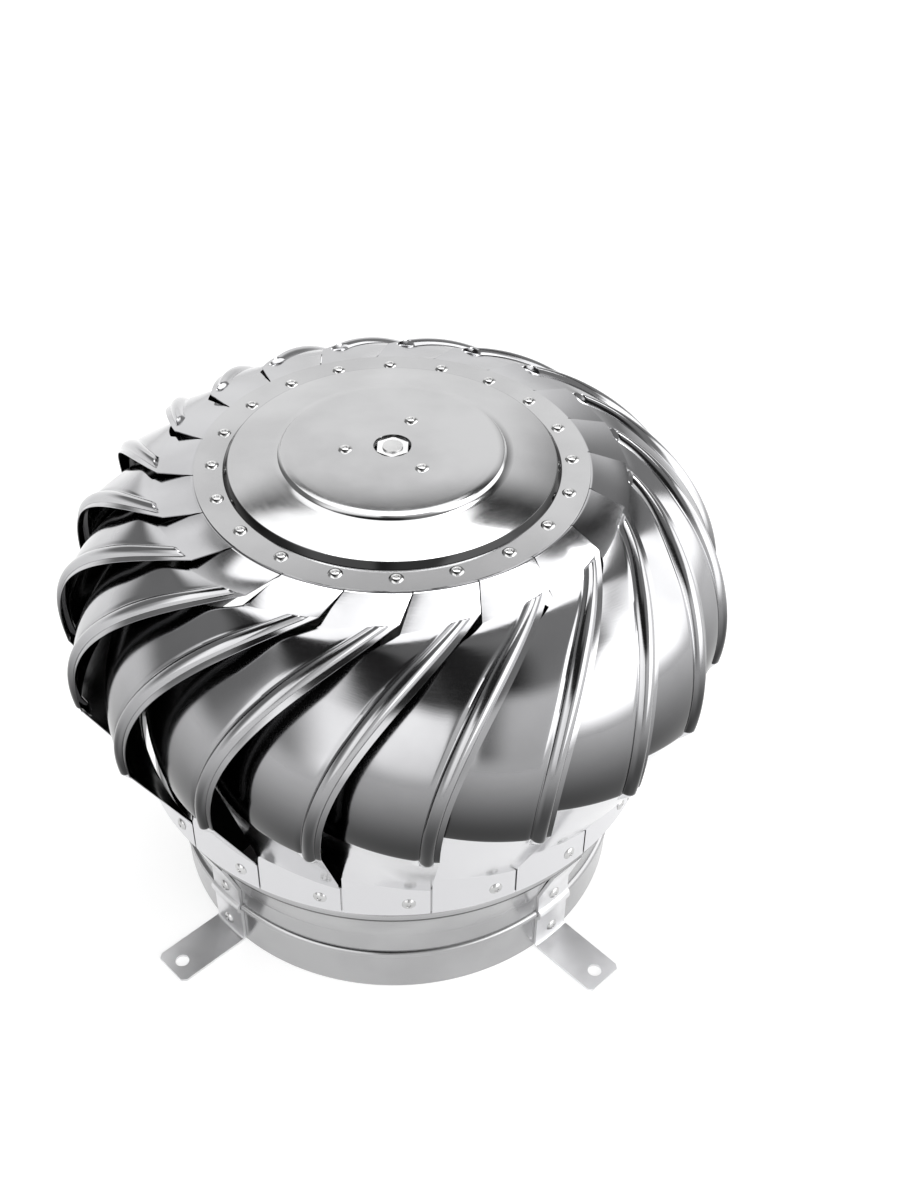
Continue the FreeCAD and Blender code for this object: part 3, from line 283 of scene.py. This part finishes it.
# Lengths are in metres and angles in degrees, unless a name or a call says otherwise.
vane_count = 20
pitch = 360.0 / vane_count
first_vane = 3.8
vane_thickness = 0.0006
vane_crease = 24
side_gap = 0.4
edge_start = 0.48
edge_sweep, sweep_ease = 30.8, 2.24
bulge_radius, bulge_height = 0.113, 0.210
bulge_reach, bulge_rise = 0.0945, 0.101
rib_start_radius = 0.139
fold_turn = math.radians(100.6)
lip_width, rib_width, rib_height = 0.0030, 0.0082, 0.0030
groove_depth, groove_half, groove_offset = 0.0006, 0.0009, 0.0006
widest = 24.0
dip, first_swell, first_drop, dip_ease = 0.019, 0.003, 0.005, 1.25
tab_height, tab_angle = 0.310, 4.0
tab_radii = (0.101, 0.1075, 0.1175, 0.1182)
strip_radius, strip_end = 0.17048, 0.101
fold_height, fold_slant = 0.122, 0.010
fold_round = 0.12


def smooth_step(value):
    """Goes smoothly from 0 to 1 while its value does."""
    held = np.clip(value, 0, 1)
    return held * held * (3 - 2 * held)


def leading_edge(share):
    """Radius, height (m) and angle (degrees) of the ribbed edge, from the tab's end (0) to the
    fold (1): an arc of an ellipse in the upright plane, swept back most near its top. The last
    result is the ellipse's outward way, the arc's slope turned by a right angle."""
    first = math.asin((rib_start_radius - bulge_radius) / bulge_reach)
    turn = first + (fold_turn - first) * share
    radius = bulge_radius + bulge_reach * np.sin(turn)
    height = bulge_height + bulge_rise * np.cos(turn)
    sweep = edge_sweep * (1 - (1 - share) ** sweep_ease)
    outward = np.stack([bulge_rise * np.sin(turn), bulge_reach * np.cos(turn)])
    return radius, height, edge_start - sweep, outward / np.linalg.norm(outward, axis=0)


def cylinder_points(radius, angle, height):
    """Points at a radius, an angle in degrees measured from the front and a height."""
    turn = np.radians(angle)
    parts = np.broadcast_arrays(radius * np.sin(turn), -radius * np.cos(turn), height)
    return np.stack(parts, axis=-1)


def vane_surface(across):
    """The vane's outer surface and its map: rows down its length, columns back from the edge.

    across is 0 to 1 over the lip, 1 to 2 over the rib, 2 to 3 over the plain body. The bulge
    follows the leading edge's arc and falls away behind it by a power of the way back; the rib
    is a half wave on top, with a bell-shaped groove behind it. The tab, the facet and the bottom
    strip are flat, and straight lines join them to the bulge's ends, while the rib dies out
    below the fold by a quarter round."""
    down = np.linspace(0, 1, 90) ** 1.25
    radius, height, angle, outward = (value[..., None] for value in leading_edge(down))
    step = np.gradient(radius[:, 0]) ** 2 + np.gradient(height[:, 0]) ** 2
    slip = (np.gradient(np.radians(angle[:, 0])) * radius[:, 0]) ** 2
    slant = np.sqrt(step / (step + slip))[:, None]
    scale = np.degrees(1 / (radius * slant))
    lip, rib = lip_width * scale, rib_width * scale
    grow = smooth_step(down / 0.35)[:, None]
    width = pitch + (widest - pitch) * grow
    a = across[None, :]
    on_rib = lip + rib * (a - 1)
    on_body = lip + rib + (width - lip - rib) * (a - 2)
    behind = np.where(a < 1, lip * a, np.where(a < 2, on_rib, on_body))
    hump = np.where((a > 1) & (a < 2), np.sin(np.pi * np.clip(a - 1, 0, 1)) ** 0.7, 0.0)
    off_groove = (behind - lip - rib - groove_offset * scale) / (groove_half * scale)
    rise = (rib_height * smooth_step(down / 0.012)[:, None] * hump
            - groove_depth * np.exp(-off_groove ** 2) * grow)
    part = behind / pitch
    fall = (dip * grow - first_swell * (1 - grow)) * part ** dip_ease
    r = radius - fall + rise * outward[0]
    z = height - first_drop * (1 - grow) * part + rise * outward[1]
    bulge = cylinder_points(r, angle - behind, z)
    share = behind / behind[:, -1:]
    tab_angles = tab_angle - (pitch - side_gap) * share[:1]
    tab = [cylinder_points(tab_radius, tab_angles, tab_height) for tab_radius in tab_radii]
    strip_angles = angle[-1:] - (pitch - side_gap) * share[-1:]
    strip_fold = fold_height + fold_slant * share[-1:]
    strip_heights = (strip_fold + 0.0005, strip_fold, strip_fold - 0.0005, strip_end)
    strip = [cylinder_points(strip_radius, strip_angles, at) for at in strip_heights]
    flat_radius = radius[-1:] - dip * part[-1:] ** dip_ease
    fold = cylinder_points(flat_radius, angle[-1:] - behind[-1:], height[-1:] + 0 * part[-1:])
    ease = np.array([0.02, 0.25, 0.5, 0.75, 0.93, 0.98])[:, None, None]
    neckline = tab[-1] * (1 - ease) + bulge[:1] * ease
    fade = np.array([0.008, 0.02, 0.05, 0.08, 0.10, 0.12, 0.15, 0.4, 0.7, 0.98])[:, None, None]
    rest = np.sqrt(np.clip(1 - (fade / fold_round) ** 2, 0, 1))
    facet = (fold + (bulge[-1:] - fold) * rest) * (1 - fade) + strip[0] * fade
    grid = np.concatenate([*tab, neckline, bulge, facet, *strip], axis=0)
    stretches = [np.linspace(0.0, 0.08, 10), 0.1 + 0.4 * down, 0.52 + 0.4 * fade[:, 0, 0],
                 np.linspace(0.94, 1.0, 4)]
    place = np.concatenate(stretches)[:, None] + 0 * across
    return grid, np.stack([across / 3 + 0 * place, place], axis=-1)


def strip_loop(outer, inner):
    """Points and faces of a closed strip between an outer and an inner grid of one size.

    Each row goes across the outer side and back across the inner one, and the first and last
    rows are closed by faces between their two halves."""
    loop = np.concatenate([outer, inner[:, ::-1]], axis=1)
    rows, columns = loop.shape[:2]
    j = np.arange(columns // 2 - 1)
    first_end = np.stack([j + 1, j, columns - 1 - j, columns - 2 - j], axis=1)
    last_end = first_end[:, ::-1] + (rows - 1) * columns
    round_strip = grid_faces(rows, columns, False, True)
    return loop.reshape(-1, 3), np.concatenate([round_strip, first_end, last_end])


def inward(grid, thickness):
    """The grid moved into the ventilator: against the cross product of its two slopes, or along
    it, whichever way is inward at the middle of the grid."""
    normal = np.cross(np.gradient(grid, axis=0), np.gradient(grid, axis=1))
    normal /= np.linalg.norm(normal, axis=-1, keepdims=True)
    middle = (grid.shape[0] // 2, grid.shape[1] // 2)
    if np.dot(normal[middle], grid[middle] * (1, 1, 0)) > 0:
        normal = -normal
    return grid + normal * thickness


def piece(name, points, faces, finish, body, crease, spread=None):
    """A mesh object at the origin from point and face arrays, turned right side out.

    The signed volume is the sum of each face's corner products; where it is negative, every
    face is reversed. Points that meet at a pole or a seam become one, and edges sharper than
    the crease angle stay sharp. spread is each point's place on the piece's own map."""
    points = np.asarray(points, float).reshape(-1, 3)
    a, b, c, d = (points[faces[:, i]] for i in range(4))
    volume = np.einsum("ij,ij->i", a, np.cross(b, c) + np.cross(c, d)).sum()
    if volume < 0:
        faces = faces[:, ::-1]
    mesh = bpy.data.meshes.new(name)
    mesh.from_pydata(points, [], faces)
    if spread is not None:
        at = np.empty(len(mesh.loops), np.int32)
        mesh.loops.foreach_get("vertex_index", at)
        mesh.uv_layers.new(name="span").data.foreach_set("uv", np.asarray(spread)[at].ravel())
    whole = bmesh.new()
    whole.from_mesh(mesh)
    bmesh.ops.remove_doubles(whole, verts=whole.verts, dist=1e-6)
    whole.to_mesh(mesh)
    whole.free()
    mesh.polygons.foreach_set("use_smooth", np.ones(len(mesh.polygons), bool))
    mesh.set_sharp_from_angle(angle=math.radians(crease))
    mesh.materials.append(finish.material)
    thing = bpy.data.objects.new(name, mesh)
    bpy.context.scene.collection.objects.link(thing)
    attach(thing, body)
    return thing


across_lip = np.linspace(0, 1, 4)
across_rib = np.linspace(1, 2, 15)[1:]
across_body = 2 + np.linspace(0, 1, 25)[1:] ** 1.6
vane_grid, vane_span = vane_surface(np.concatenate([across_lip, across_rib, across_body]))
vane_points, vane_faces = strip_loop(vane_grid, inward(vane_grid, vane_thickness))
vane_map = np.concatenate([vane_span, vane_span[:, ::-1] + (1.1, 0)], axis=1).reshape(-1, 2)
for i in range(vane_count):
    about = np.array(Matrix.Rotation(math.radians(first_vane + pitch * i), 3, "Z"))
    name = f"vane_{i + 1:02d}"
    vane = piece(name + "_form", vane_points @ about.T, vane_faces, vane_finish, "rotor",
                 vane_crease, vane_map)
    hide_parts(name)


# Top cap: a round stainless pressing with a flat flange, a raised dish that swells toward its
# rim, and a raised centre disc, slightly crowned, with a hole over the shaft's end.
def revolved(profile, segments):
    """Points of a closed (radius, height) outline carried once round the Z axis."""
    angle = np.linspace(0, 2 * np.pi, segments, endpoint=False)[:, None]
    r = profile[None, :, 0]
    z = profile[None, :, 1] + 0 * angle
    return np.stack([r * np.sin(angle), -r * np.cos(angle), z], axis=-1)


def turned_piece(name, profile, finish, body, crease, segments=300):
    """A closed ring or disc with a hole, made by carrying an outline round the Z axis."""
    faces = grid_faces(segments, len(profile), True, True)
    return piece(name, revolved(profile, segments), faces, finish, body, crease)


def painted_step_shade(finish):
    """Painted shade: a dark ring on the narrow step between flange and dish, by distance from the
    middle.
    """
    return [(finish.reach().band(0.0966, 0.1004, 0.0008), 0.07)]


# The cap's sheet has a ring of painted shade on its step.
cap_finish = polished_sheet("cap_sheet", (0.48, 0.48, 0.485), 0.05, 0.05, painted_step_shade)
cap_sheet = 0.0010
flange_line = [(0.1172, 0.3103), (0.1170, 0.3110), (0.1001, 0.3110)]
flange_step = [(0.0996, 0.3113), (0.0976, 0.3144), (0.0971, 0.3149)]
dish = np.linspace(0, 1, 9)[1:-1]
dish_height = 0.3150 + 0.0048 * dish + 0.0003 * np.sin(np.pi * dish)
dish_line = np.stack([0.0970 - 0.0290 * dish, dish_height], axis=1)
disc_step = [(0.0677, 0.31985), (0.0672, 0.3201), (0.0658, 0.3218), (0.0652, 0.3220)]
crown = np.linspace(0, 1, 9)[1:]
crown_line = np.stack([0.0652 - 0.0290 * crown, 0.3230 - 0.0009 * (1 - crown) ** 2], axis=1)
hole_edge = [(0.0114, 0.3230), (0.0110, 0.3228)]
cap_top = np.concatenate([flange_line, flange_step, dish_line, disc_step, crown_line, hole_edge])
cap_under = cap_top[::-1] - np.array([0.0, cap_sheet])
cap_under[0] = (0.0110, 0.3222)
cap_under[-1] = (0.1172, 0.3100)
cap = turned_piece("cap_form", np.concatenate([cap_top, cap_under]), cap_finish, "rotor", 26)
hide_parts("top_cap")


# Neck: a rolled stainless tube with a bead between its two bands, a flare and a beaded rim. It
# is a little duller than the vanes, with painted shade in a dark line along the lower side of each
# bead.
def bead(middle, half, radius, bulge, steps=11):
    """Half-round swelling of a wall: an arc between two points that stands out by the bulge."""
    t = np.linspace(-1, 1, steps)
    return np.stack([radius + bulge * np.sqrt(1 - t * t * 0.999), middle + half * t], axis=1)


def painted_bead_shade(finish):
    """Painted shade: two dark lines round the neck, by height, on the lower side of the rim's bead
    and of the middle bead.
    """
    height = finish.part(finish.place(), 2)
    rim_painted_shade = height.band(0.0822, 0.0884, 0.0008)
    middle_bead_painted_shade = height.band(0.0298, 0.0322, 0.0006)
    return [(rim_painted_shade, 0.08), (middle_bead_painted_shade, 0.2)]


neck_finish = polished_sheet("neck_sheet", (0.43, 0.43, 0.435), 0.13, 0.12, painted_bead_shade)
neck_wall = 0.0008
neck_radius, rim_radius = 0.150, 0.1606
bead_height = 0.034
outer_wall = np.concatenate([
    [(neck_radius, 0.0), (neck_radius, 0.030)], bead(bead_height, 0.003, neck_radius, 0.0023),
    [(neck_radius, 0.0375), (neck_radius, 0.051), (0.1503, 0.053), (0.1603, 0.0828)],
    bead(0.0887, 0.0050, rim_radius, 0.0039), [(rim_radius, 0.0941), (rim_radius, 0.0957)]])
inner_wall = outer_wall[::-1] - np.array([neck_wall, 0])
neck = turned_piece("neck_form", np.concatenate([outer_wall, inner_wall]), neck_finish, "base", 50)
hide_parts("neck_ring")


# Foot brackets: four bent strips of bright satin steel, each a riser that two blind rivets hold
# to the neck over its bead, and a flat foot with one bolt hole and clipped corners.
def satin_steel(name, colour, dull, lines_along=(1.0, 1.0, 60.0)):
    """Brushed steel whose brush lines are a noise stretched along one way."""
    finish = Finish(name, Metallic=1.0)
    brush = finish.noise(finish.place(lines_along), 60.0)
    cloud = finish.noise(finish.place(), 30.0)
    dark = (*(0.8 * c for c in colour), 1)
    finish.feed(
        Base_Color=finish.mixed(cloud.between(0.3, 0.7), (*colour, 1), dark),
        Roughness=dull + 0.12 * brush + 0.06 * cloud,
        Normal=finish.bump(brush, 0.00005, 0.4))
    return finish


def drilled(thing, place, radius, sides=48):
    """Cuts an upright round hole through a piece with an exact boolean against a drill."""
    turn = np.linspace(0, 2 * np.pi, sides, endpoint=False)
    circle = np.stack([radius * np.cos(turn), radius * np.sin(turn), 0 * turn], axis=1)
    points = np.concatenate([circle + (0, 0, -0.01), circle + (0, 0, 0.01)]) + np.array(place)
    ends = [tuple(range(sides - 1, -1, -1)), tuple(range(sides, 2 * sides))]
    mesh = bpy.data.meshes.new("drill")
    mesh.from_pydata(points, [], grid_faces(2, sides, False, True).tolist() + ends)
    drill = bpy.data.objects.new("drill", mesh)
    bpy.context.scene.collection.objects.link(drill)
    cut = thing.modifiers.new("hole", "BOOLEAN")
    cut.object = drill
    cut.solver = "EXACT"
    shaped = thing.evaluated_get(bpy.context.evaluated_depsgraph_get())
    solid = bpy.data.meshes.new_from_object(shaped)
    thing.modifiers.clear()
    thing.data = solid
    bpy.data.objects.remove(drill)


def strip_side(radius, knee, bead_top, bead_half, bead_bulge, bend_radius, foot_height):
    """One side of a bracket's strip as (radius, height) points: from its top down the neck's
    flare, over the bead, round a quarter circle and out to the foot's tip."""
    return np.concatenate([
        [(radius + 0.028 * flare, 0.080), (radius + 0.012 * flare, 0.064), (radius, knee),
         (radius, bead_top)], bead(bead_height, bead_half, radius, bead_bulge)[::-1],
        [(radius, 0.024), (radius, 0.012)], np.array([0.1541, 0.004]) + bend_radius * curl,
        np.concatenate([foot_run, 0 * foot_run + foot_height], axis=1)])


bracket_finish = satin_steel("bracket_strip", (0.80, 0.80, 0.81), 0.28)
bracket_count = 4
bracket_angles = 45.0 + 90.0 * np.arange(bracket_count)
bracket_radius = 0.1521
bolt_reach, bolt_radius = 0.192, 0.0045
flare = 0.0106 / 0.0317
bend = np.linspace(math.pi, 1.5 * math.pi, 9)[:, None]
curl = np.concatenate([np.cos(bend), np.sin(bend)], axis=1)
foot_run = np.array([0.160, 0.170, 0.180, 0.190, 0.1985, 0.2013, 0.2015])[:, None]
back_side = strip_side(0.1501, 0.052, 0.0385, 0.0031, 0.00243, 0.004, 0.0)
front_side = strip_side(bracket_radius, 0.0517, 0.0392, 0.0045, 0.00253, 0.002, 0.002)
half_width = np.full(len(front_side), 0.014)
half_width[0] = 0.0128
half_width[-3:] = (0.014, 0.0118, 0.0112)
across = np.linspace(-1, 1, 13)[None, :] * half_width[:, None]
straight = smooth_step((front_side[:, 0] - 0.1535) / 0.006)[:, None]
for index, azimuth in enumerate(np.radians(bracket_angles)):
    sides = []
    for line in (front_side, back_side):
        r = line[:, :1]
        out = r * np.cos(across / r) * (1 - straight) + r * straight
        aside = r * np.sin(across / r) * (1 - straight) + across * straight
        x_way = out * math.sin(azimuth) + aside * math.cos(azimuth)
        y_way = -out * math.cos(azimuth) + aside * math.sin(azimuth)
        sides.append(np.stack([x_way, y_way, line[:, 1:] + 0 * out], axis=-1))
    name = f"foot_bracket_{index + 1}"
    bracket = piece(name + "_form", *strip_loop(*sides), bracket_finish, "base", 40)
    bolt_place = (bolt_reach * math.sin(azimuth), -bolt_reach * math.cos(azimuth), 0.001)
    drilled(bracket, bolt_place, bolt_radius)
    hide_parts(name)


# Blind rivets: bright domed heads with the dimple of the broken pin, and a swollen tail on the
# hidden side of the sheets that they join.
def rivet_outline(grip):
    """Half section of a rivet from pole to pole: the dome falls as a power of its radius."""
    t = np.linspace(0, 1, 9)
    dome = np.stack([0.0014 + 0.0028 * t, 0.0015 * (1 - t ** 2.4) + 0.0001], axis=1)
    pin = [(0.0, 0.0011), (0.0009, 0.0011), (0.0011, 0.0009), (0.00125, 0.0014)]
    tail = [(0.0042, 0.0), (0.0024, 0.0), (0.0024, -grip), (0.0031, -grip),
            (0.0032, -grip - 0.0003), (0.0030, -grip - 0.0014), (0.0026, -grip - 0.0016),
            (0.0, -grip - 0.0016)]
    return np.concatenate([pin, dome, tail])


def rivet_group(name, azimuths, radius, height, grip, facing, body="rotor"):
    """One mesh with a rivet at each azimuth; facing is the way that the heads look."""
    one = revolved(rivet_outline(grip), rivet_sides).reshape(-1, 3)
    turn = np.radians(azimuths)
    out = np.stack([np.sin(turn), -np.cos(turn), 0 * turn], axis=1)
    along = np.stack([np.cos(turn), np.sin(turn), 0 * turn], axis=1)
    up = np.zeros_like(out) + (0, 0, 1)
    ways = {"out": (along, up, out), "up": (out, along, up), "down": (along, out, -up)}[facing]
    spots = out * radius + up * np.reshape(height + 0 * turn, (-1, 1))
    points = spots[:, None] + sum(one[None, :, i:i + 1] * ways[i][:, None] for i in range(3))
    faces = grid_faces(rivet_sides, len(one) // rivet_sides, True, False)
    shift = (np.arange(len(turn)) * len(one))[:, None, None]
    all_faces = (faces[None] + shift).reshape(-1, 4)
    group = piece(name + "_form", points, all_faces, rivet_finish, body, 40)
    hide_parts(name)


rivet_finish = satin_steel("rivet_heads", (0.60, 0.60, 0.60), 0.04)
rivet_sides = 28
round_cap = first_vane + pitch * np.arange(vane_count)
round_ring = -30.82 + pitch * np.arange(vane_count)
at_spoke = np.arange(vane_count) % 4 == 0
thirds = 120.0 * np.arange(3)
ring_rivet_height = 0.1115
rivet_group("cap_rivets", round_cap, 0.1066, 0.3110, 0.0016, "up")
rivet_group("ring_rivets", round_ring[~at_spoke], strip_radius, ring_rivet_height, 0.0019, "out")
rivet_group("spoke_end_rivets", round_ring[at_spoke], strip_radius, ring_rivet_height, 0.0042,
            "out")
rivet_group("upper_cup_rivets", 39.8 + thirds, 0.028, 0.3230, 0.0025, "up")
rivet_group("lower_cup_rivets", 5.18 + thirds, 0.025, 0.1080, 0.0035, "down")
rivet_group("spoke_hub_rivets", round_ring[at_spoke], 0.0355, 0.1060, 0.0040, "down")
rivet_group("foot_rivets", np.repeat(bracket_angles, 2), bracket_radius,
            np.tile([0.012, 0.046], bracket_count), 0.0029, "out", "base")

# Pieces that keep their solids' shapes: the rolled lower ring, the strip of bars and spokes, the
# hub plate, the turned shaft, zinc plated cups, washers and nuts, and the ground bearings. Each
# solid, a hidden one too, takes the finish of the first word that its name holds.
ring_finish = satin_steel("ring_strip", (0.50, 0.50, 0.51), 0.2)
plate_finish = satin_steel("spoke_plate", (0.50, 0.50, 0.50), 0.24)
zinc_finish = satin_steel("zinc_plated", (0.62, 0.62, 0.61), 0.24)
shaft_finish = satin_steel("turned_shaft", (0.60, 0.60, 0.60), 0.2, (1.0, 1.0, 400.0))
bearing_finish = satin_steel("ground_steel", (0.48, 0.48, 0.49), 0.1)
nut_finish = satin_steel("bright_nut", (0.93, 0.93, 0.93), 0.1)
finish_of_word = {
    "rivets": rivet_finish, "vane": vane_finish, "top_cap": cap_finish, "neck": neck_finish,
    "bracket": bracket_finish, "cross_bar": plate_finish, "spoke": plate_finish,
    "hub_plate": plate_finish, "lower_ring": ring_finish, "shaft": shaft_finish,
    "top_nut": nut_finish, "nut": zinc_finish, "washer": zinc_finish, "clip": zinc_finish,
    "cup": zinc_finish, "bearing": bearing_finish}
for name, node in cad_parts.items():
    word = next(word for word in finish_of_word if word in name)
    for slot in node.material_slots:
        slot.material = finish_of_word[word].material
